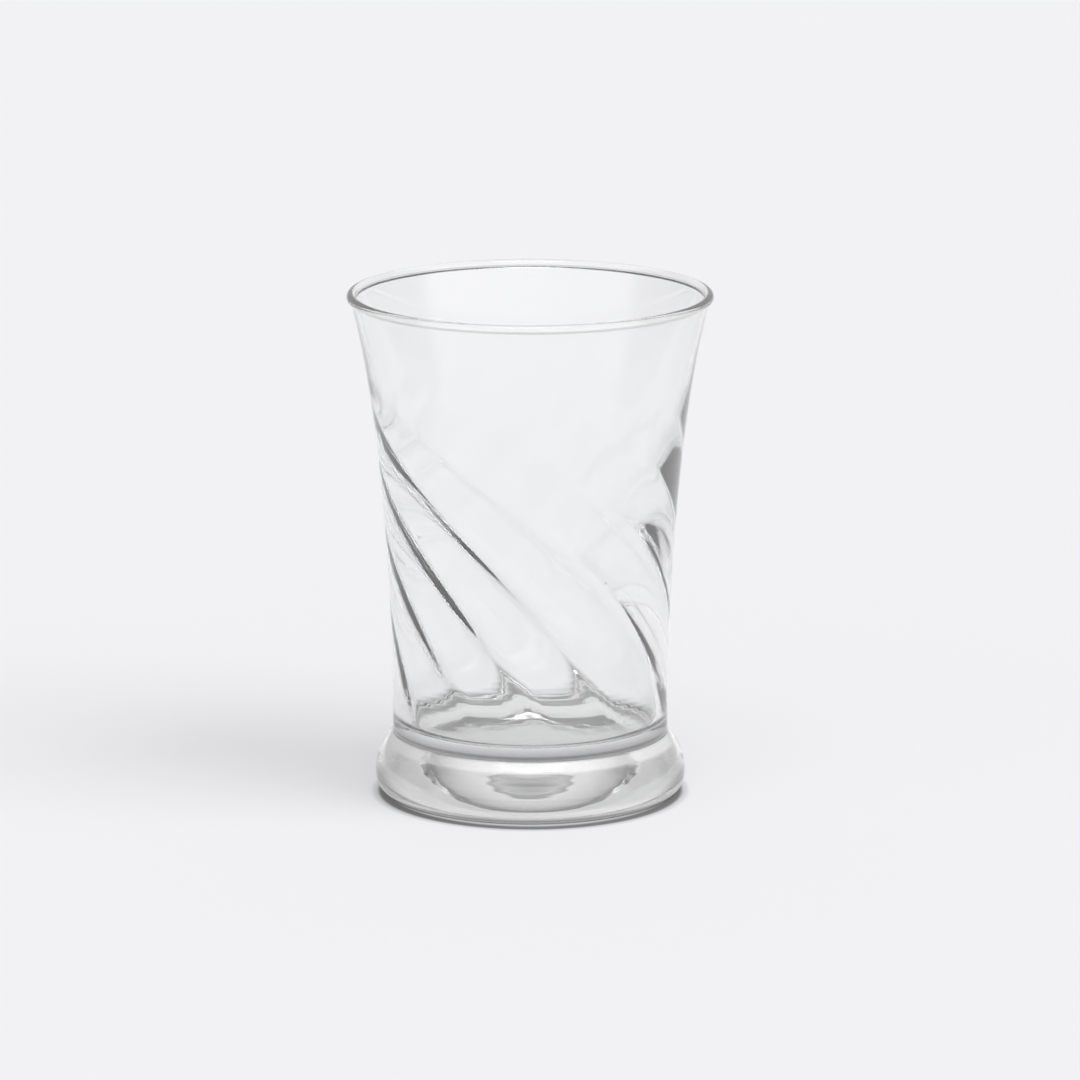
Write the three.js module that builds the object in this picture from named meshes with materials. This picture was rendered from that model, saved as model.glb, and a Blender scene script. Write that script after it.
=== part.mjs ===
// Clear glass tumbler with a flared mouth, swirled ribs inside its wall and a heavy round foot.
// Two glass pieces: the blown bowl, and the solid foot that is fused under it.
// Millimetres, +Z up, origin at the centre of the ring that the tumbler stands on.

import * as THREE from 'three';

// Foot
const footHeight = 13.8;
const footWidestRadius = 35.05;
const footWidestHeight = 4.6;
const bearingOuterRadius = 33.4;
const bearingWidth = 5;
const hollowDepth = 1.2;

// Bowl, outside: a straight waist, then one long curve out to the mouth
const waistRadius = 31.1;
const waistHeight = 16.2;
const curveHeight = 82.3;
const mouthRadius = 40;
const lowerHandleRise = 27.5;
const lowerHandleOut = 0.9;
const upperHandleDrop = 21.5;
const upperHandleIn = 5.7;

// Bowl, inside
const bottomThickness = 2.4;
const lowWallThickness = 3.3;
const mouthWallThickness = 1.1;
const floorCornerRadius = 2;

// Lip: the round bead that fire polishing leaves round the mouth. It stands out from the outside of the wall,
// tucks in under itself there, and runs smoothly into the inside.
const lipStandout = 1;
const lipTuck = 45;

// Swirled ribs on the inside of the wall. Each rib is a round swelling between two sharp creases, with its
// crown nearer to one of them. The ribs grow from the floor, and melt away into the plain upper wall.
const ribCount = 10;
const ribHeight = 1.2;
const ribHeightAtFloor = 0.4;
const ribGrowLength = 25;
const ribFadeStart = 45.8;
const ribFadeLength = 30;
const ribCrown = 0.6;
const ribRoundness = 2;
const ribStartAngle = 48.5;
const ribCrowding = 5.8;
const ribCrowdingAngle = 136;
const lowTwistRate = 0.95;
const twistRateGain = 0.0219;

// Fineness of the solids
const columnsPerRib = 6;
const outsideCurveLevels = 11;
const outsideWaistLevels = 1;
const insideCurveLevels = 30;
const insideWaistLevels = 5;
const cornerLevels = 3;
const lipSteps = 8;
const arcSteps = 5;
const footSegments = 60;

const columns = ribCount * columnsPerRib;
const waistTop = footHeight + waistHeight;
const mouthHeight = waistTop + curveHeight;
const lipRadius = (mouthWallThickness + lipStandout) / 2;
const lipHeight = mouthHeight + lipRadius;
const floorHeight = footHeight + bottomThickness;

const wallCurve = new THREE.CubicBezierCurve(
  new THREE.Vector2(waistRadius, waistTop),
  new THREE.Vector2(waistRadius + lowerHandleOut, waistTop + lowerHandleRise),
  new THREE.Vector2(mouthRadius - upperHandleIn, mouthHeight - upperHandleDrop),
  new THREE.Vector2(mouthRadius, mouthHeight),
);

// Points of the bowl's outside, as radius and height, from a height on the waist up to the mouth
function wallPoints(lowest, waistLevels, curveLevels) {
  const waist = new THREE.LineCurve(
    new THREE.Vector2(waistRadius, lowest),
    new THREE.Vector2(waistRadius, waistTop),
  );
  return [...waist.getPoints(waistLevels), ...wallCurve.getPoints(curveLevels).slice(1)];
}

// The wall thins steadily from the floor to the mouth.
function wallThickness(height) {
  const share = (height - floorHeight) / (mouthHeight - floorHeight);
  return THREE.MathUtils.lerp(lowWallThickness, mouthWallThickness, share);
}

function ribHeightAt(height) {
  const climb = height - floorHeight;
  const grown = THREE.MathUtils.smoothstep(climb, 0, ribGrowLength);
  const faded = THREE.MathUtils.smoothstep(climb, ribFadeStart, ribFadeStart + ribFadeLength);
  return THREE.MathUtils.lerp(ribHeightAtFloor, ribHeight, grown) * (1 - faded);
}

// Share of a rib's height that a column of points has: nothing on the crease, all of it on the crown.
function ribShare(column) {
  const across = (column % columnsPerRib) / columnsPerRib;
  const flank = across < ribCrown ? ribCrown : 1 - ribCrown;
  return 1 - (Math.abs(across - ribCrown) / flank) ** ribRoundness;
}

// Angle of a column of points at a height. The ribs turn faster the higher they climb, and stand a little
// closer together on one side of the bowl than on the other. Angles count from the front, -Y, towards +X.
function columnAngle(column, height) {
  const climb = height - floorHeight;
  const turn = (lowTwistRate + (twistRateGain * climb) / 2) * climb;
  const even = (column * 360) / columns;
  const crowding = ribCrowding * Math.sin(THREE.MathUtils.degToRad(even - ribCrowdingAngle));
  return THREE.MathUtils.degToRad(ribStartAngle + even + crowding - turn);
}

// One ring of the bowl's points. radiusOf gives the radius of each column, and swirlHeight the height whose
// swirl the columns follow. The smooth outside and the lip all keep the swirl of the mouth, so that their
// columns run straight up.
function bowlRing(radiusOf, height, swirlHeight = height) {
  const ring = [];
  for (let column = 0; column < columns; column += 1) {
    const angle = columnAngle(column, swirlHeight);
    const radius = radiusOf(column);
    ring.push(new THREE.Vector3(radius * Math.sin(angle), -radius * Math.cos(angle), height));
  }
  return ring;
}

function outsideRings() {
  const points = wallPoints(footHeight, outsideWaistLevels, outsideCurveLevels);
  return points.map((point) => bowlRing(() => point.x, point.y, mouthHeight));
}

// The bead runs from under its outer side, over the top, to where it meets the lean of the inside.
function lipRings() {
  const rings = [];
  const centreRadius = mouthRadius + lipStandout - lipRadius;
  const start = -THREE.MathUtils.degToRad(lipTuck);
  const end = Math.PI + Math.atan2(upperHandleIn, upperHandleDrop);
  for (let step = 0; step <= lipSteps; step += 1) {
    const angle = THREE.MathUtils.lerp(start, end, step / lipSteps);
    const radius = centreRadius + lipRadius * Math.cos(angle);
    const height = lipHeight + lipRadius * Math.sin(angle);
    rings.push(bowlRing(() => radius, height, mouthHeight));
  }
  return rings;
}

function insideRadius(column, wallPoint) {
  return wallPoint.x - wallThickness(wallPoint.y) - ribHeightAt(wallPoint.y) * ribShare(column);
}

// The inside runs down the wall, round the corner and onto the floor.
function insideRings() {
  const cornerTop = floorHeight + floorCornerRadius;
  const points = wallPoints(cornerTop, insideWaistLevels, insideCurveLevels).reverse();
  const rings = points.map((point) => bowlRing((column) => insideRadius(column, point), point.y));
  const lowest = points.at(-1);
  for (let level = 1; level <= cornerLevels; level += 1) {
    const angle = (level / cornerLevels) * (Math.PI / 2);
    const inset = floorCornerRadius * (1 - Math.cos(angle));
    const height = cornerTop - floorCornerRadius * Math.sin(angle);
    rings.push(bowlRing((column) => insideRadius(column, lowest) - inset, height, cornerTop));
  }
  return rings;
}

// A closed skin over a stack of rings, with a centre point to close each end.
function skinOf(rings, firstCentre, lastCentre) {
  const points = [...rings.flat(), firstCentre, lastCentre];
  const firstIndex = points.length - 2;
  const lastIndex = points.length - 1;
  const lastRing = (rings.length - 1) * columns;
  const triangles = [];
  for (let column = 0; column < columns; column += 1) {
    const next = (column + 1) % columns;
    triangles.push(firstIndex, next, column);
    triangles.push(lastIndex, lastRing + column, lastRing + next);
    for (let level = 0; level < rings.length - 1; level += 1) {
      const below = level * columns;
      const above = below + columns;
      triangles.push(below + column, below + next, above + next);
      triangles.push(below + column, above + next, above + column);
    }
  }
  const geometry = new THREE.BufferGeometry().setFromPoints(points);
  geometry.setIndex(triangles);
  geometry.computeVertexNormals();
  return geometry;
}

function bowlGeometry() {
  const rings = [...outsideRings(), ...lipRings(), ...insideRings()];
  return skinOf(rings, new THREE.Vector3(0, 0, footHeight), new THREE.Vector3(0, 0, floorHeight));
}

// The foot's outline, from the middle of the hollow underneath to the middle of the top, where the bowl sits.
function footGeometry() {
  const bearingInnerRadius = bearingOuterRadius - bearingWidth;
  const hollow = new THREE.QuadraticBezierCurve(
    new THREE.Vector2(0, hollowDepth),
    new THREE.Vector2(bearingInnerRadius / 2, hollowDepth),
    new THREE.Vector2(bearingInnerRadius, 0),
  );
  const lowerEdge = new THREE.EllipseCurve(
    bearingOuterRadius,
    footWidestHeight,
    footWidestRadius - bearingOuterRadius,
    footWidestHeight,
    -Math.PI / 2,
    0,
  );
  const shoulder = new THREE.QuadraticBezierCurve(
    new THREE.Vector2(footWidestRadius, footWidestHeight),
    new THREE.Vector2(footWidestRadius, (footWidestHeight + footHeight) / 2),
    new THREE.Vector2(waistRadius, footHeight),
  );
  const outline = [
    ...hollow.getPoints(arcSteps),
    ...lowerEdge.getPoints(arcSteps),
    ...shoulder.getPoints(arcSteps).slice(1),
    new THREE.Vector2(0, footHeight),
  ];
  return new THREE.LatheGeometry(outline, footSegments).rotateX(Math.PI / 2);
}

function clearGlass() {
  return new THREE.MeshStandardMaterial({
    color: 0xf1f3f3,
    roughness: 0.03,
    metalness: 0,
    transparent: true,
    opacity: 0.35,
  });
}

function namedMesh(name, geometry) {
  const mesh = new THREE.Mesh(geometry, clearGlass());
  mesh.name = name;
  return mesh;
}

const tumbler = new THREE.Group();
tumbler.add(namedMesh('foot', footGeometry()));
tumbler.add(namedMesh('bowl', bowlGeometry()));

export default tumbler;
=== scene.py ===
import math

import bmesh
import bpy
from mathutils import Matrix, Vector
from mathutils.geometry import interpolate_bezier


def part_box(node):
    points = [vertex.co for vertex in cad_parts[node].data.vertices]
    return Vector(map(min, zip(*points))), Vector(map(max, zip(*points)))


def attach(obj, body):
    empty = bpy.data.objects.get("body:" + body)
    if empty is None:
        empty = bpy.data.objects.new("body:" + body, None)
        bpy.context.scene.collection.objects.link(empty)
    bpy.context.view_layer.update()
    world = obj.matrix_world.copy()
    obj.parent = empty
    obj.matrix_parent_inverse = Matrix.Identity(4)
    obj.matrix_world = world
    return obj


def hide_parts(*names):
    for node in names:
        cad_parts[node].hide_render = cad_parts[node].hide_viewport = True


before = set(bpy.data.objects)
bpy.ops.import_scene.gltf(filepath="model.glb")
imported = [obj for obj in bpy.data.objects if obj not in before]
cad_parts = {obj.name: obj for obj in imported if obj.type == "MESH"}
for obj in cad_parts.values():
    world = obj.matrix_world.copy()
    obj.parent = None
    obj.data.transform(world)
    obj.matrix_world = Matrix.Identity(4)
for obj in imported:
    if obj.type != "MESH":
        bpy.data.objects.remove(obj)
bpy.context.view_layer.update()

# A clear glass tumbler in a bright studio: a blown bowl with swirled ribs inside its wall and a bead
# round its mouth, fused onto a heavy round foot. Shapes are worked out in millimetres, as radius and height,
# and pulled up ring by ring as on a blowing iron. Angles are in degrees, and those round the axis count
# from the front, -Y, towards +X.

MM = 0.001

# Heights and radii that the frame gives
FOOT_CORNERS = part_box("foot")
BOWL_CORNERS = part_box("bowl")
NECK_HEIGHT = FOOT_CORNERS[1].z / MM
FOOT_WIDEST_RADIUS = FOOT_CORNERS[1].y / MM
MOUTH_TOP = BOWL_CORNERS[1].z / MM

# Foot: a narrow bearing ring round a shallow hollow, a rolled lower edge, and a shoulder up to the neck.
# The handles of the shoulder's curve are shares of its height and width.
FOOT_WIDEST_HEIGHT = 4.6
BEARING_OUTER_RADIUS = 32.45
BEARING_INNER_RADIUS = 30.5
HOLLOW_DEPTH = 1.45
HOLLOW_ROOF_RADIUS = 4
HOLLOW_CENTRE_RADIUS = 2
SHOULDER_LOW_HANDLE = 1 / 3
SHOULDER_HIGH_HANDLE = 2 / 3
FOOT_COLUMNS = 240
HOLLOW_LEVELS = 60
EDGE_LEVELS = 14
SHOULDER_LEVELS = 22

# Seam: the pieces are fused, and only a fine crevice is left between them round the neck
SEAM_RADIUS = 29.5
SEAM_REACH = 0.01
CREVICE_WIDTH = 0.15

# Bowl, outside: a straight waist, then one long curve out to the mouth
WAIST_RADIUS = 31.1
WAIST_TOP = 30
MOUTH_RADIUS = 40
LOWER_HANDLE_RISE = 27.5
LOWER_HANDLE_OUT = 0.9
UPPER_HANDLE_DROP = 21.5
UPPER_HANDLE_IN = 5.7

# Lip: the bead that fire polishing leaves round the mouth
LIP_STANDOUT = 1
LIP_TUCK = 45
LIP_LEVELS = 18

# Bowl, inside
BOTTOM_THICKNESS = 2.4
LOW_WALL_THICKNESS = 3.6
MOUTH_WALL_THICKNESS = 1.1
WALL_TAPER = 1.6
FLOOR_CORNER_RADIUS = 2
FLOOR_RING_RADII = (21, 16, 11, 6, 2)

LIP_RADIUS = (MOUTH_WALL_THICKNESS + LIP_STANDOUT) / 2
LIP_HEIGHT = MOUTH_TOP - LIP_RADIUS
MOUTH_HEIGHT = LIP_HEIGHT - LIP_RADIUS
FLOOR_HEIGHT = NECK_HEIGHT + BOTTOM_THICKNESS

# Swirled ribs on the inside of the wall. Lengths count from the floor of the bowl, the crown's place is a
# share of the rib's width, and a crease is softened over a number of columns to each side.
RIB_COUNT = 10
COLUMNS_PER_RIB = 36
RIB_HEIGHT = 1.8
RIB_SHARE_AT_FLOOR = 0.1
RIB_GROW_LENGTH = 36
RIB_FADE_START = 36
RIB_FADE_LENGTH = 44
RIB_CROWN = 0.62
CREASE_SOFTNESS = 4
RIB_START_ANGLE = 48.5
RIB_CROWDING = 5.8
RIB_CROWDING_ANGLE = 136
LOW_TWIST_RATE = 0.95
TWIST_RATE_GAIN = 0.0219

# Fineness of the bowl
BOWL_COLUMNS = RIB_COUNT * COLUMNS_PER_RIB
WAIST_LEVELS = 8
OUTSIDE_CURVE_LEVELS = 48
INSIDE_CURVE_LEVELS = 96
INSIDE_WAIST_LEVELS = 20
CORNER_LEVELS = 8
SMOOTH_ANGLE = 40

# Glass
GLASS_INDEX = 1.52
GLASS_CLEAR = (1, 1, 1, 1)
GLASS_TINT = (0.99, 0.995, 0.993, 1)
GLASS_CLARITY = 0.95
# Haze of the two bands that stand in for bright highlight bands: painted highlights
HIGHLIGHT_BAND_CLARITY = 0.75
SMOOTHEST_POLISH = 0
ROUGHEST_POLISH = 0.01

# Clarity and painted shade by height, as stops of height and tone. Two hazy white bands, one above the
# rolled lower edge and one under the neck, are painted highlights. The outer skin is darkened at the lower
# edge and in the fold
# above the neck: painted shade.
TONE_SPAN = 20
SKIN_RADIUS = 29.3
CLARITY_AND_HIGHLIGHT_STOPS = (
    (1.8, GLASS_CLARITY),
    (2.2, HIGHLIGHT_BAND_CLARITY),
    (3, HIGHLIGHT_BAND_CLARITY),
    (3.6, GLASS_CLARITY),
    (11.2, GLASS_CLARITY),
    (12, HIGHLIGHT_BAND_CLARITY),
    (13.5, HIGHLIGHT_BAND_CLARITY),
    (13.8, GLASS_CLARITY),
)
# Painted shade on the outer skin: dark at the lower edge and in the fold above the neck
PAINTED_SHADE_STOPS = (
    (1.2, 0.2),
    (1.8, 1),
    (13.8, 1),
    (13.9, 0.4),
    (14.5, 0.1),
    (14.9, 0.1),
    (15.3, 0.3),
    (18.2, 1),
)

# Slow waves all over the skin, and the fine level ripples that a cold mould leaves low on it
WAVE_SCALE = 60
WAVE_DETAIL = 1
WAVE_DEPTH = 0.02
CHILL_PITCH = 1.4
RIPPLES_IN_PI = 10  # of a wave texture whose scale is 1
CHILL_SCALE = math.pi / (RIPPLES_IN_PI * CHILL_PITCH * MM)
CHILL_DISTORTION = 0.4
CHILL_FULL = 20
CHILL_TOP = 42
BOWL_CHILL_DEPTH = 0.003
FOOT_CHILL_DEPTH = 0.0015

# Light paths: bounces in the glass, and faces of the fused seam that light may pass on its way
GLASS_BOUNCES = 8
SEAM_CROSSINGS = 32

# Floor: its size is in metres. The painted contact shade is a share of the floor's glow and colour at each
# distance from a point a little in front of the foot's middle.
FLOOR_SIZE = 7
FLOOR_GAP = 0.05
FLOOR_COLOUR = (0.25, 0.25, 0.252, 1)
FLOOR_GLOW = 0.485
FLOOR_TINT = (0.996, 0.996, 1.01, 1)
CONTACT_FORWARD = 2
CONTACT_SPAN = 60
PAINTED_CONTACT_SHADE = ((31, 1), (32.5, 0.25), (33.8, 0.25), (35, 0.8), (36.5, 1))

# A lamp or a camera points straight down until it is tipped up, and looks level at this angle
LEVEL_TIP = 90

# Softbox: angles to the right of the front, up, and across it
SOFTBOX_RIGHT = 62
SOFTBOX_UP = 48
SOFTBOX_WIDTH = 40
SOFTBOX_POWER = 2.6

# Tent: brightness of its wall, with shares of the way from the front to the back, and of its roof, which
# starts and is full at angles up. The roof's glow has its middle at an angle up, and its edge and its full
# part at angles from the middle.
TENT_FRONT = 1.2
TENT_FRONT_END = 0.3
TENT_SIDE = 0.22
TENT_SIDE_START = 0.45
TENT_SIDE_END = 0.72
TENT_BACK = 0.65
TENT_BACK_START = 0.9
TENT_ROOF = 0.8
TENT_ROOF_START = 36
TENT_ROOF_FULL = 48
GLOW_STRENGTH = 2.4
GLOW_UP = 66
GLOW_EDGE = 24
GLOW_FULL = 14

# Camera: its place is in metres, and it looks down by its pitch
IMAGE_PIXELS = 1080
CAMERA_PLACE = (0.0022, -1.415, 0.381)
CAMERA_PITCH = 12.88
CAMERA_FOCUS_PIXELS = 6449
SENSOR_WIDTH = 36


def lerp(low, high, share):
    return low + (high - low) * share


def smoothstep(value, start, end):
    share = min(max((value - start) / (end - start), 0), 1)
    return share * share * (3 - 2 * share)


class RingPull:
    """Pulls a ring of points up into a round shape, one extrusion after another."""

    def __init__(self, name, columns, radius, height):
        bpy.ops.object.select_all(action="DESELECT")
        bpy.ops.mesh.primitive_circle_add(vertices=columns, radius=radius * MM, fill_type="NOTHING")
        self.piece = bpy.context.object
        self.piece.name = name
        self.radius = radius
        self.height = height
        bpy.ops.object.mode_set(mode="EDIT")
        bpy.ops.transform.translate(value=(0, 0, height * MM))

    def pull(self, radius, height, turn=0):
        """Extrudes the ring to a new radius and height, turned by an angle."""
        rise = (0, 0, (height - self.height) * MM)
        bpy.ops.mesh.extrude_region_move(TRANSFORM_OT_translate={"value": rise})
        centre = (0, 0, height * MM)
        growth = radius / self.radius
        bpy.ops.transform.resize(value=(growth, growth, 1), center_override=centre)
        self.radius = radius
        self.height = height
        if turn:
            self.turn(turn)

    def turn(self, degrees):
        """Turns what is selected round the axis."""
        centre = (0, 0, self.height * MM)
        bpy.ops.transform.rotate(value=-math.radians(degrees), orient_axis="Z", center_override=centre)

    def pull_along(self, outline):
        for radius, height in outline:
            self.pull(radius, height)

    def close(self):
        """Closes the ring with a fan of faces round a middle point."""
        bpy.ops.mesh.edge_face_add()
        bpy.ops.mesh.poke()

    def close_start(self):
        """Closes the ring that the piece was started from."""
        bpy.ops.mesh.select_all(action="DESELECT")
        bpy.ops.mesh.select_non_manifold()
        self.close()

    def turn_faces_out(self):
        """Ends the pulling with all faces turned out."""
        bpy.ops.mesh.select_all(action="SELECT")
        bpy.ops.mesh.normals_make_consistent(inside=False)
        bpy.ops.object.mode_set(mode="OBJECT")


def curve_points(start, start_handle, end_handle, end, levels):
    """Radius and height of each point along a curve, without its first one."""
    knots = [Vector(point) for point in (start, start_handle, end_handle, end)]
    return [(point.x, point.y) for point in interpolate_bezier(*knots, levels + 1)[1:]]


def straight_points(start, end, levels):
    """Radius and height of each point along a straight line, without its first one."""
    shares = [level / levels for level in range(1, levels + 1)]
    return [(lerp(start[0], end[0], share), lerp(start[1], end[1], share)) for share in shares]


def wall_curve(levels):
    """The outside of the bowl from the top of the waist to the mouth."""
    return curve_points(
        (WAIST_RADIUS, WAIST_TOP),
        (WAIST_RADIUS + LOWER_HANDLE_OUT, WAIST_TOP + LOWER_HANDLE_RISE),
        (MOUTH_RADIUS - UPPER_HANDLE_IN, MOUTH_HEIGHT - UPPER_HANDLE_DROP),
        (MOUTH_RADIUS, MOUTH_HEIGHT),
        levels,
    )


def outside_outline():
    """The outside of the bowl, from the crevice at the neck up to the mouth."""
    neck = (WAIST_RADIUS, NECK_HEIGHT + CREVICE_WIDTH)
    waist = straight_points(neck, (WAIST_RADIUS, WAIST_TOP), WAIST_LEVELS)
    return [neck] + waist + wall_curve(OUTSIDE_CURVE_LEVELS)


def lip_outline():
    """The bead, from under its outer side, over the top, to the lean of the inside."""
    centre_radius = MOUTH_RADIUS + LIP_STANDOUT - LIP_RADIUS
    start = -math.radians(LIP_TUCK)
    end = math.pi + math.atan2(UPPER_HANDLE_IN, UPPER_HANDLE_DROP)
    points = []
    for level in range(LIP_LEVELS + 1):
        angle = lerp(start, end, level / LIP_LEVELS)
        radius = centre_radius + LIP_RADIUS * math.cos(angle)
        points.append((radius, LIP_HEIGHT + LIP_RADIUS * math.sin(angle)))
    return points


def wall_thickness(height):
    """The wall thins quickly above the floor, then slowly to the mouth."""
    share = (MOUTH_HEIGHT - height) / (MOUTH_HEIGHT - FLOOR_HEIGHT)
    return lerp(MOUTH_WALL_THICKNESS, LOW_WALL_THICKNESS, share**WALL_TAPER)


def inside_outline():
    """The inside of the wall without its ribs, from the mouth down to the corner at the floor."""
    corner_top = FLOOR_HEIGHT + FLOOR_CORNER_RADIUS
    waist = straight_points((WAIST_RADIUS, corner_top), (WAIST_RADIUS, WAIST_TOP), INSIDE_WAIST_LEVELS)
    wall = [(WAIST_RADIUS, corner_top)] + waist + wall_curve(INSIDE_CURVE_LEVELS)
    return [(radius - wall_thickness(height), height) for radius, height in reversed(wall)]


def corner_outline(wall_radius):
    """The round corner between the wall and the floor."""
    points = []
    for level in range(1, CORNER_LEVELS + 1):
        angle = (level / CORNER_LEVELS) * (math.pi / 2)
        radius = wall_radius - FLOOR_CORNER_RADIUS * (1 - math.cos(angle))
        height = FLOOR_HEIGHT + FLOOR_CORNER_RADIUS * (1 - math.sin(angle))
        points.append((radius, height))
    return points


def swirl(height):
    """Angle that the ribs have turned at a height. They turn faster the higher they climb."""
    climb = height - FLOOR_HEIGHT
    return -(LOW_TWIST_RATE + TWIST_RATE_GAIN * climb / 2) * climb


def column_angle(column):
    """Angle of a column of points at the mouth. The ribs stand closer together on one side."""
    even = 360 * column / BOWL_COLUMNS
    crowding = RIB_CROWDING * math.sin(math.radians(even - RIB_CROWDING_ANGLE))
    return RIB_START_ANGLE + even + crowding + swirl(MOUTH_HEIGHT)


def sharp_rib(column):
    """Share of a rib's height that a column has: nothing on the crease, all of it on the crown."""
    across = (column % COLUMNS_PER_RIB) / COLUMNS_PER_RIB
    flank = RIB_CROWN if across < RIB_CROWN else 1 - RIB_CROWN
    return 1 - ((across - RIB_CROWN) / flank) ** 2


def rib_share(column):
    """The same share on a rib whose creases the fire has softened over a few columns."""
    near = range(column - CREASE_SOFTNESS, column + CREASE_SOFTNESS + 1)
    return sum(sharp_rib(other) for other in near) / len(near)


def rib_strength(height):
    """Share of the full rib height at a height: the ribs grow from the floor and melt away above."""
    climb = height - FLOOR_HEIGHT
    grown = lerp(RIB_SHARE_AT_FLOOR, 1, smoothstep(climb, 0, RIB_GROW_LENGTH))
    faded = smoothstep(climb, RIB_FADE_START, RIB_FADE_START + RIB_FADE_LENGTH)
    corner = smoothstep(climb, 0, 2 * FLOOR_CORNER_RADIUS)
    return grown * (1 - faded) * corner


def select_points(piece, chosen):
    """Selects only the points that a test picks, in edit mode."""
    mesh = bmesh.from_edit_mesh(piece.data)
    for point in mesh.verts:
        point.select_set(chosen(point))
    mesh.select_flush_mode()
    bmesh.update_edit_mesh(piece.data)


def lay_out_columns(ring):
    """Turns each point of the bowl's first ring to its column, and marks its share of a rib."""
    piece = ring.piece
    bpy.ops.object.mode_set(mode="OBJECT")
    ribs = piece.vertex_groups.new(name="ribs")
    angles = []
    for column, point in enumerate(piece.data.vertices):
        ribs.add([column], rib_share(column), "REPLACE")
        angles.append(math.degrees(math.atan2(point.co.x, -point.co.y)))
    bpy.ops.object.mode_set(mode="EDIT")
    for column, angle in enumerate(angles):
        select_points(piece, lambda point: point.index == column)
        ring.turn(column_angle(column) - angle)
    bpy.ops.mesh.select_all(action="SELECT")


def raise_ribs(piece):
    """Swells the inside of the wall along the swirled columns. Points there face the axis."""
    ribs = piece.vertex_groups["ribs"]
    for point in piece.data.vertices:
        faces_axis = point.normal.to_2d().dot(point.co.to_2d()) < 0
        strength = rib_strength(point.co.z / MM) if faces_axis else 0
        ribs.add([point.index], ribs.weight(point.index) * strength, "REPLACE")
    swelling = piece.modifiers.new("ribs", "DISPLACE")
    swelling.vertex_group = ribs.name
    swelling.mid_level = 0
    swelling.strength = RIB_HEIGHT * MM
    bpy.ops.object.modifier_apply(modifier=swelling.name)
    bpy.ops.object.mode_set(mode="EDIT")
    bpy.ops.mesh.select_all(action="SELECT")
    bpy.ops.mesh.quads_convert_to_tris(quad_method="SHORTEST_DIAGONAL")
    bpy.ops.object.mode_set(mode="OBJECT")


def finish_piece(piece, node, glass, seam):
    """Shades a piece, and gives it its glass, and the clear seam where the two pieces are fused."""
    bpy.ops.object.shade_smooth_by_angle(angle=math.radians(SMOOTH_ANGLE))
    piece.data.materials.append(glass)
    piece.data.materials.append(seam)
    for face in piece.data.polygons:
        level_with_neck = abs(face.center.z / MM - NECK_HEIGHT) < SEAM_REACH
        face.material_index = int(level_with_neck and face.center.to_2d().length < SEAM_RADIUS * MM)
    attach(piece, "root")
    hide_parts(node)


def make_bowl(glass, seam):
    ring = RingPull("tumbler_bowl", BOWL_COLUMNS, SEAM_RADIUS, NECK_HEIGHT)
    lay_out_columns(ring)
    ring.pull_along(outside_outline())
    ring.pull_along(lip_outline())
    swirl_above = swirl(MOUTH_HEIGHT)
    for radius, height in inside_outline():
        ring.pull(radius, height, swirl(height) - swirl_above)
        swirl_above = swirl(height)
    ring.pull_along(corner_outline(ring.radius))
    ring.pull_along([(radius, FLOOR_HEIGHT) for radius in FLOOR_RING_RADII])
    ring.close()
    ring.close_start()
    ring.turn_faces_out()
    raise_ribs(ring.piece)
    finish_piece(ring.piece, "bowl", glass, seam)


def hollow_height(radius):
    """The underside rises softly from the ring that the foot stands on to the middle."""
    return HOLLOW_DEPTH * (1 - smoothstep(radius, HOLLOW_ROOF_RADIUS, BEARING_INNER_RADIUS))


def hollow_outline():
    """The underside, from near the middle out to the bearing ring."""
    points = []
    for level in range(1, HOLLOW_LEVELS + 1):
        radius = lerp(HOLLOW_CENTRE_RADIUS, BEARING_INNER_RADIUS, level / HOLLOW_LEVELS)
        points.append((radius, hollow_height(radius)))
    return points


def edge_outline():
    """The bearing ring's outer side and the rolled lower edge, up to where the foot is widest."""
    points = []
    for level in range(EDGE_LEVELS + 1):
        angle = (level / EDGE_LEVELS) * (math.pi / 2)
        radius = lerp(BEARING_OUTER_RADIUS, FOOT_WIDEST_RADIUS, math.sin(angle))
        points.append((radius, FOOT_WIDEST_HEIGHT * (1 - math.cos(angle))))
    return points


def shoulder_outline():
    """The shoulder, from where the foot is widest up to the neck."""
    handle_height = lerp(FOOT_WIDEST_HEIGHT, NECK_HEIGHT, SHOULDER_LOW_HANDLE)
    neck_handle_radius = lerp(WAIST_RADIUS, FOOT_WIDEST_RADIUS, SHOULDER_HIGH_HANDLE)
    neck_handle_height = lerp(FOOT_WIDEST_HEIGHT, NECK_HEIGHT, SHOULDER_HIGH_HANDLE)
    return curve_points(
        (FOOT_WIDEST_RADIUS, FOOT_WIDEST_HEIGHT),
        (FOOT_WIDEST_RADIUS, handle_height),
        (neck_handle_radius, neck_handle_height),
        (WAIST_RADIUS, NECK_HEIGHT),
        SHOULDER_LEVELS,
    )


def make_foot(glass, seam):
    middle = hollow_height(HOLLOW_CENTRE_RADIUS)
    ring = RingPull("tumbler_foot", FOOT_COLUMNS, HOLLOW_CENTRE_RADIUS, middle)
    ring.pull_along(hollow_outline())
    ring.pull_along(edge_outline())
    ring.pull_along(shoulder_outline())
    ring.pull(SEAM_RADIUS, NECK_HEIGHT)
    ring.close()
    ring.close_start()
    ring.turn_faces_out()
    finish_piece(ring.piece, "foot", glass, seam)


def add_node(tree, kind, values=None, sources=None, **settings):
    """Adds a node with its settings, the values of some inputs and the sockets that feed others."""
    node = tree.nodes.new(kind)
    for name, setting in settings.items():
        setattr(node, name, setting)
    for socket, value in (values or {}).items():
        node.inputs[socket].default_value = value
    for socket, source in (sources or {}).items():
        tree.links.new(source, node.inputs[socket])
    return node


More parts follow.
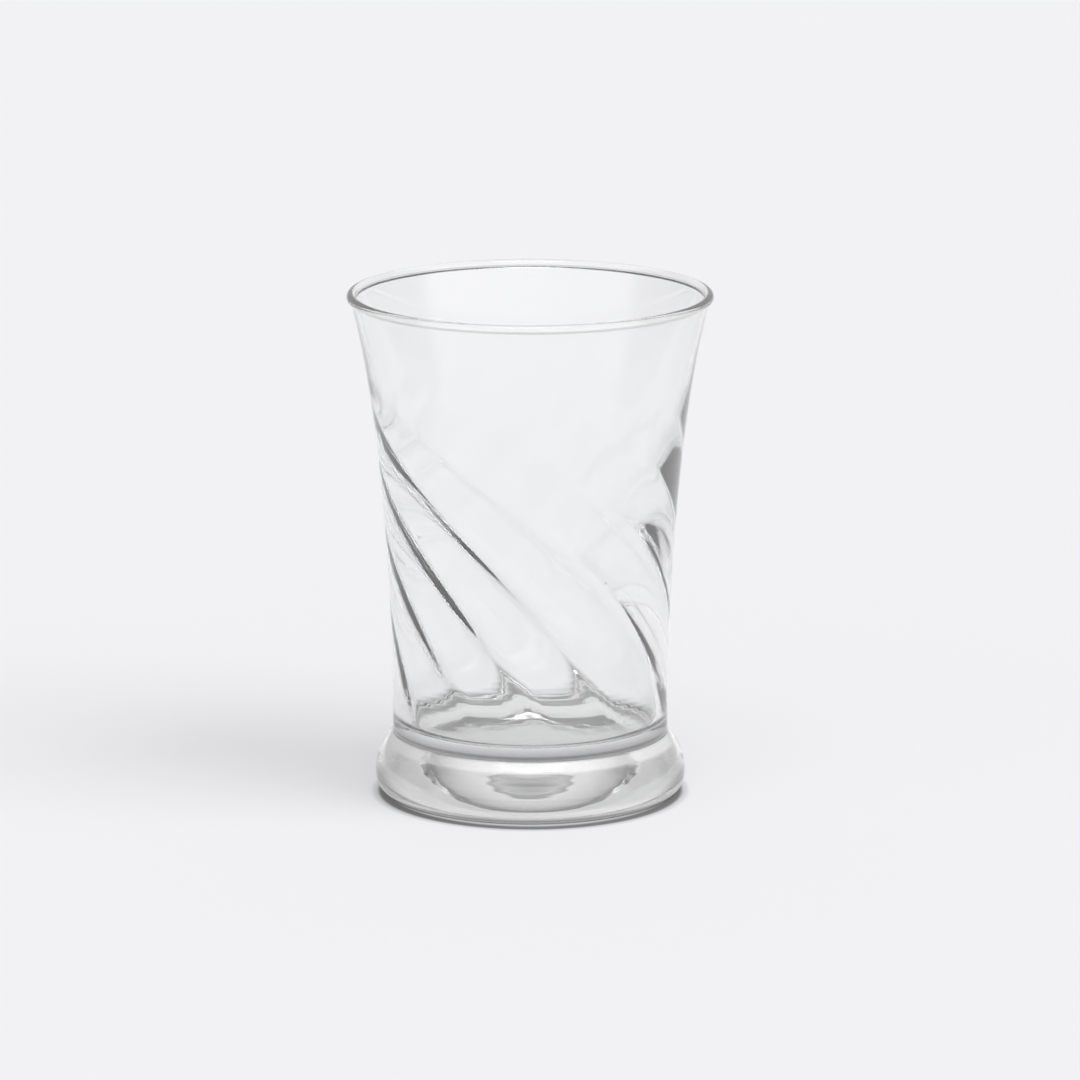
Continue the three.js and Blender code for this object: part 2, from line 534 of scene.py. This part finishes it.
def add_ramp(tree, amount, stops, interpolation="LINEAR"):
    """A colour that follows an amount from 0 to 1, given as stops of amount and colour."""
    node = add_node(tree, "ShaderNodeValToRGB", sources={"Fac": amount})
    tones = node.color_ramp.elements
    node.color_ramp.interpolation = interpolation
    first, *between, last = stops
    tones[0].position, tones[0].color = first
    tones[1].position, tones[1].color = last
    for position, colour in between:
        tones.new(position).color = colour
    return node.outputs["Color"]


def smooth_change(tree, value, start, end, at_start, at_end):
    """An amount that changes smoothly while a value goes from its start to its end."""
    change = add_node(
        tree,
        "ShaderNodeMapRange",
        {"From Min": start, "From Max": end, "To Min": at_start, "To Max": at_end},
        {"Value": value},
        interpolation_type="SMOOTHSTEP",
    )
    return change.outputs["Result"]


def distance_from_axis(tree, place):
    """Distance of a place from the upright axis."""
    level = add_node(tree, "ShaderNodeVectorMath", {1: (1, 1, 0)}, {0: place}, operation="MULTIPLY")
    flat_place = level.outputs["Vector"]
    distance = add_node(tree, "ShaderNodeVectorMath", sources={0: flat_place}, operation="LENGTH")
    return distance.outputs["Value"]


def height_of(tree, place):
    parts = add_node(tree, "ShaderNodeSeparateXYZ", sources={"Vector": place})
    return parts.outputs["Z"]


def grey(brightness):
    return (brightness, brightness, brightness, 1)


def tone_by_height(tree, height, stops):
    """A tone that changes with the height on the piece, given as stops of height and tone."""
    share = add_node(tree, "ShaderNodeMapRange", {"From Max": TONE_SPAN * MM}, {"Value": height})
    shades = [(stop / TONE_SPAN, grey(tone)) for stop, tone in stops]
    return add_ramp(tree, share.outputs["Result"], shades)


def new_material(name):
    """A material, with its nodes and its shader."""
    material = bpy.data.materials.new(name)
    material.use_nodes = True
    tree = material.node_tree
    return material, tree, tree.nodes["Principled BSDF"]


def slow_waves(tree, place):
    """The slow unevenness of glass that was shaped by hand."""
    values = {"Scale": WAVE_SCALE, "Detail": WAVE_DETAIL}
    waves = add_node(tree, "ShaderNodeTexNoise", values, {"Vector": place})
    return waves.outputs["Fac"]


def rippled_skin(tree, place, waves, chill_depth):
    """Normals of the skin: slow waves, and low on the piece the fine level ripples of a cold mould."""
    slow_skin = add_node(tree, "ShaderNodeBump", {"Distance": WAVE_DEPTH * MM}, {"Height": waves})
    ripples = add_node(
        tree,
        "ShaderNodeTexWave",
        {"Scale": CHILL_SCALE, "Distortion": CHILL_DISTORTION},
        {"Vector": place},
        bands_direction="Z",
    )
    fading = smooth_change(tree, height_of(tree, place), CHILL_FULL * MM, CHILL_TOP * MM, 1, 0)
    normal = slow_skin.outputs["Normal"]
    skin = add_node(
        tree,
        "ShaderNodeBump",
        {"Distance": chill_depth * MM},
        {"Strength": fading, "Height": ripples.outputs["Fac"], "Normal": normal},
    )
    return skin.outputs["Normal"]


def uneven_polish(tree, waves):
    """Roughness that follows the slow waves."""
    values = {"To Min": SMOOTHEST_POLISH, "To Max": ROUGHEST_POLISH}
    polish = add_node(tree, "ShaderNodeMapRange", values, {"Value": waves})
    return polish.outputs["Result"]


def outside_share(tree, place):
    """1 on the outer skin of the piece, 0 further in."""
    distance = distance_from_axis(tree, place)
    skin = SKIN_RADIUS * MM
    outside = add_node(tree, "ShaderNodeMath", {1: skin}, {0: distance}, operation="GREATER_THAN")
    return outside.outputs["Value"]


def tint_and_painted_shade(tree, place, waves):
    """The faint tint of the glass, times the painted shade of its outer skin at the lower edge and in the
    neck fold.
    """
    tint = add_ramp(tree, waves, ((0, GLASS_TINT), (1, GLASS_CLEAR)))
    # Painted shade: the outer skin darkens by height at the lower edge and in the neck fold
    bands = tone_by_height(tree, height_of(tree, place), PAINTED_SHADE_STOPS)
    tinted_and_shaded = add_node(tree, "ShaderNodeMix", data_type="RGBA", blend_type="MULTIPLY")
    tree.links.new(outside_share(tree, place), tinted_and_shaded.inputs["Factor"])
    tree.links.new(tint, tinted_and_shaded.inputs["A"])
    tree.links.new(bands, tinted_and_shaded.inputs["B"])
    return tinted_and_shaded.outputs["Result"]


def clear_glass(name, chill_depth):
    """Blown glass, clear with a breath of haze, painted highlight and shade bands, a wavy skin and uneven
    polish.
    """
    material, tree, shader = new_material(name)
    shader.inputs["IOR"].default_value = GLASS_INDEX
    place = add_node(tree, "ShaderNodeTexCoord").outputs["Object"]
    waves = slow_waves(tree, place)
    # Transmission falls in two bands, so hazy glass shows there as painted highlights
    clarity = tone_by_height(tree, height_of(tree, place), CLARITY_AND_HIGHLIGHT_STOPS)
    tree.links.new(clarity, shader.inputs["Transmission Weight"])
    # The base colour carries the painted shade of the lower edge and the neck fold
    tree.links.new(tint_and_painted_shade(tree, place, waves), shader.inputs["Base Color"])
    tree.links.new(uneven_polish(tree, waves), shader.inputs["Roughness"])
    tree.links.new(rippled_skin(tree, place, waves, chill_depth), shader.inputs["Normal"])
    return material


def fused_seam():
    """Inside the neck the two pieces are one glass, so light passes straight through the seam."""
    material, tree, shader = new_material("fused seam")
    tree.nodes.remove(shader)
    through = add_node(tree, "ShaderNodeBsdfTransparent")
    tree.links.new(through.outputs["BSDF"], tree.nodes["Material Output"].inputs["Surface"])
    return material


def painted_contact_shade(tree):
    """The floor's tint, with painted shade in a ring round the foot's edge in place of its contact shadow.
    """
    place = add_node(tree, "ShaderNodeTexCoord").outputs["Object"]
    forward = (0, CONTACT_FORWARD * MM, 0)
    shifted = add_node(tree, "ShaderNodeVectorMath", {1: forward}, {0: place}, operation="ADD")
    distance = distance_from_axis(tree, shifted.outputs["Vector"])
    reach = add_node(tree, "ShaderNodeMapRange", {"From Max": CONTACT_SPAN * MM}, {"Value": distance})
    stops = []
    for radius, share in PAINTED_CONTACT_SHADE:
        stops.append((radius / CONTACT_SPAN, [channel * share for channel in FLOOR_TINT]))
    return add_ramp(tree, reach.outputs["Result"], stops, "EASE")


def pale_floor():
    """A matt pale surface that glows like a lit table, with painted contact shade round the foot."""
    material, tree, shader = new_material("pale floor")
    shader.inputs["Roughness"].default_value = 1
    shader.inputs["Specular IOR Level"].default_value = 0
    shader.inputs["Emission Strength"].default_value = FLOOR_GLOW
    # Painted contact shade darkens both the floor's glow and its colour near the foot
    shade = painted_contact_shade(tree)
    colour = add_node(tree, "ShaderNodeMix", data_type="RGBA", blend_type="MULTIPLY")
    colour.inputs["Factor"].default_value = 1
    colour.inputs["A"].default_value = FLOOR_COLOUR
    tree.links.new(shade, colour.inputs["B"])
    tree.links.new(shade, shader.inputs["Emission Color"])
    tree.links.new(colour.outputs["Result"], shader.inputs["Base Color"])
    return material


def make_floor():
    bpy.ops.object.select_all(action="DESELECT")
    bpy.ops.mesh.primitive_plane_add(size=FLOOR_SIZE, location=(0, 0, -FLOOR_GAP * MM))
    floor = bpy.context.object
    floor.name = "studio floor"
    floor.data.materials.append(pale_floor())


def hang_softbox():
    """A far softbox that lights the floor and the haze in the glass, and isn't mirrored in its skin."""
    turn = (math.radians(LEVEL_TIP - SOFTBOX_UP), 0, math.radians(SOFTBOX_RIGHT))
    bpy.ops.object.light_add(type="SUN", rotation=turn)
    softbox = bpy.context.object
    softbox.data.energy = SOFTBOX_POWER
    softbox.data.angle = math.radians(SOFTBOX_WIDTH)
    softbox.visible_glossy = False
    softbox.visible_transmission = False


def tent_wall(tree, depth):
    """Light from the tent's wall: bright at the front, dark at the sides and paler at the back."""
    front_to_back = add_node(tree, "ShaderNodeMapRange", {"From Min": -1}, {"Value": depth})
    stops = (
        (TENT_FRONT_END, grey(TENT_FRONT)),
        (TENT_SIDE_START, grey(TENT_SIDE)),
        (TENT_SIDE_END, grey(TENT_SIDE)),
        (TENT_BACK_START, grey(TENT_BACK)),
    )
    return add_ramp(tree, front_to_back.outputs["Result"], stops, "EASE")


def roof_glow(tree, direction):
    """Light from the patch of the tent's roof, towards the front, that a lamp shines on."""
    up = math.radians(GLOW_UP)
    middle = (0, -math.cos(up), math.sin(up))
    sources = {0: direction}
    nearness = add_node(tree, "ShaderNodeVectorMath", {1: middle}, sources, operation="DOT_PRODUCT")
    edge = math.cos(math.radians(GLOW_EDGE))
    full = math.cos(math.radians(GLOW_FULL))
    return smooth_change(tree, nearness.outputs["Value"], edge, full, 0, GLOW_STRENGTH)


def light_tent():
    """Soft light from all round, from a tent's wall and roof."""
    world = bpy.data.worlds.new("light tent")
    bpy.context.scene.world = world
    world.use_nodes = True
    tree = world.node_tree
    direction = add_node(tree, "ShaderNodeTexCoord").outputs["Generated"]
    parts = add_node(tree, "ShaderNodeSeparateXYZ", sources={"Vector": direction})
    wall = tent_wall(tree, parts.outputs["Y"])
    roof_start = math.sin(math.radians(TENT_ROOF_START))
    roof_full = math.sin(math.radians(TENT_ROOF_FULL))
    roof_share = smooth_change(tree, parts.outputs["Z"], roof_start, roof_full, 0, 1)
    tent = add_node(tree, "ShaderNodeMix", {"B": TENT_ROOF}, {"Factor": roof_share, "A": wall})
    sources = {0: tent.outputs["Result"], 1: roof_glow(tree, direction)}
    light = add_node(tree, "ShaderNodeMath", sources=sources, operation="ADD")
    background = tree.nodes["Background"]
    background.inputs["Color"].default_value = grey(1)
    tree.links.new(light.outputs["Value"], background.inputs["Strength"])


def place_camera():
    turn = (math.radians(LEVEL_TIP - CAMERA_PITCH), 0, 0)
    bpy.ops.object.camera_add(location=CAMERA_PLACE, rotation=turn)
    camera = bpy.context.object
    camera.data.sensor_width = SENSOR_WIDTH
    camera.data.lens = CAMERA_FOCUS_PIXELS / IMAGE_PIXELS * SENSOR_WIDTH
    bpy.context.scene.camera = camera


def set_rendering():
    """Plain tones, and light that is caught inside the thick glass bounces on until it gets out."""
    scene = bpy.context.scene
    scene.view_settings.view_transform = "Standard"
    scene.cycles.max_bounces = GLASS_BOUNCES
    scene.cycles.transmission_bounces = GLASS_BOUNCES
    scene.cycles.glossy_bounces = GLASS_BOUNCES
    scene.cycles.transparent_max_bounces = SEAM_CROSSINGS


seam = fused_seam()
make_bowl(clear_glass("bowl glass", BOWL_CHILL_DEPTH), seam)
make_foot(clear_glass("foot glass", FOOT_CHILL_DEPTH), seam)
make_floor()
light_tent()
hang_softbox()
place_camera()
set_rendering()
